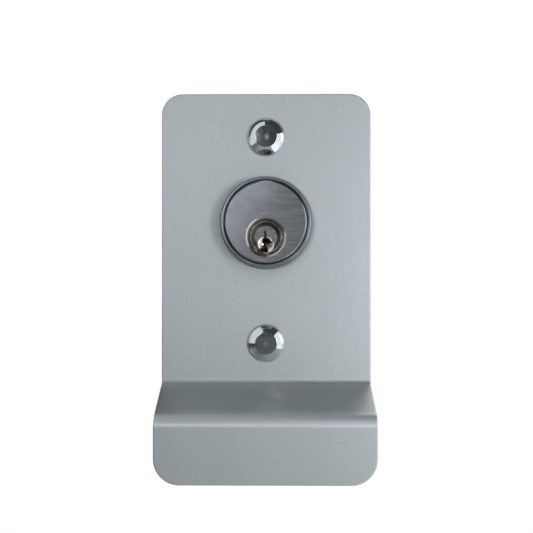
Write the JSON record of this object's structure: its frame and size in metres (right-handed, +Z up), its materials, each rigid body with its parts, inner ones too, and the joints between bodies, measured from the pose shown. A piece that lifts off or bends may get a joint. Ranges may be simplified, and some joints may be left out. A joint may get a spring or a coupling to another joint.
{
  "type": "door pull with lock cylinder",
  "caption": "Outside door pull plate with a bent finger lip, domed through bolts and a key-operated rim lock cylinder with a tailpiece.",
  "frame": {"origin": "on the back face of the pull plate, at the middle of its width and height, where it bears on the door", "axes": "+Z up along the plate, -Y out of the door towards the user, +X to the right seen from the front"},
  "size_m": [0.0888, 0.1045, 0.16],
  "materials": {
    "plate_satin": "satin",
    "bolt_chrome": "polished",
    "cylinder_satin_chrome": "brushed",
    "plug_nickel": "worn nickel over brass",
    "pin_brass": "machined",
    "spring_bronze": "drawn wire",
    "zinc_steel": "zinc plated"
  },
  "bodies": {
    "root": {"pull_plate": "plate_satin", "upper_trim_bolt": "bolt_chrome", "lower_trim_bolt": "bolt_chrome", "cylinder_collar": "cylinder_satin_chrome", "cylinder_shell": "cylinder_satin_chrome", "clamp_plate": "zinc_steel", "upper_bolt_washer": "zinc_steel", "upper_bolt_nut": "zinc_steel", "lower_bolt_washer": "zinc_steel", "lower_bolt_nut": "zinc_steel", "left_cylinder_screw": "zinc_steel", "right_cylinder_screw": "zinc_steel", "chamber_cap_1": "pin_brass", "pin_spring_1": "spring_bronze", "chamber_cap_2": "pin_brass", "pin_spring_2": "spring_bronze", "chamber_cap_3": "pin_brass", "pin_spring_3": "spring_bronze", "chamber_cap_4": "pin_brass", "pin_spring_4": "spring_bronze", "chamber_cap_5": "pin_brass", "pin_spring_5": "spring_bronze"},
    "plug": {"plug": "plug_nickel", "tailpiece": "zinc_steel", "tailpiece_retainer": "pin_brass", "left_retainer_screw": "zinc_steel", "right_retainer_screw": "zinc_steel"},
    "key_pin_1": {"key_pin_1": "pin_brass"},
    "key_pin_2": {"key_pin_2": "pin_brass"},
    "key_pin_3": {"key_pin_3": "pin_brass"},
    "key_pin_4": {"key_pin_4": "pin_brass"},
    "key_pin_5": {"key_pin_5": "pin_brass"},
    "driver_pin_1": {"driver_pin_1": "pin_brass"},
    "driver_pin_2": {"driver_pin_2": "pin_brass"},
    "driver_pin_3": {"driver_pin_3": "pin_brass"},
    "driver_pin_4": {"driver_pin_4": "pin_brass"},
    "driver_pin_5": {"driver_pin_5": "pin_brass"}
  },
  "joints": [
    {"name": "plug_turn", "type": "hinge", "parent": "root", "child": "plug", "pos_m": [0, 0, 0.019], "axis": [0, 1, 0], "continuous": true},
    {"name": "key_pin_1_slide", "type": "slide", "parent": "plug", "child": "key_pin_1", "axis": [0, 0, 1], "range_m": [-0.0008, 0]},
    {"name": "key_pin_2_slide", "type": "slide", "parent": "plug", "child": "key_pin_2", "axis": [0, 0, 1], "range_m": [-0.0014, 0]},
    {"name": "key_pin_3_slide", "type": "slide", "parent": "plug", "child": "key_pin_3", "axis": [0, 0, 1], "range_m": [-0.002, 0]},
    {"name": "key_pin_4_slide", "type": "slide", "parent": "plug", "child": "key_pin_4", "axis": [0, 0, 1], "range_m": [-0.0011, 0]},
    {"name": "key_pin_5_slide", "type": "slide", "parent": "plug", "child": "key_pin_5", "axis": [0, 0, 1], "range_m": [-0.0024, 0]},
    {"name": "driver_pin_1_slide", "type": "slide", "parent": "root", "child": "driver_pin_1", "axis": [0, 0, 1], "range_m": [0, 0.0024], "stiffness_N_per_m": 200, "springref_m": -0.002, "deforming": ["pin_spring_1"]},
    {"name": "driver_pin_2_slide", "type": "slide", "parent": "root", "child": "driver_pin_2", "axis": [0, 0, 1], "range_m": [0, 0.0024], "stiffness_N_per_m": 200, "springref_m": -0.002, "deforming": ["pin_spring_2"]},
    {"name": "driver_pin_3_slide", "type": "slide", "parent": "root", "child": "driver_pin_3", "axis": [0, 0, 1], "range_m": [0, 0.0024], "stiffness_N_per_m": 200, "springref_m": -0.002, "deforming": ["pin_spring_3"]},
    {"name": "driver_pin_4_slide", "type": "slide", "parent": "root", "child": "driver_pin_4", "axis": [0, 0, 1], "range_m": [0, 0.0024], "stiffness_N_per_m": 200, "springref_m": -0.002, "deforming": ["pin_spring_4"]},
    {"name": "driver_pin_5_slide", "type": "slide", "parent": "root", "child": "driver_pin_5", "axis": [0, 0, 1], "range_m": [0, 0.0024], "stiffness_N_per_m": 200, "springref_m": -0.002, "deforming": ["pin_spring_5"]}
  ]
}
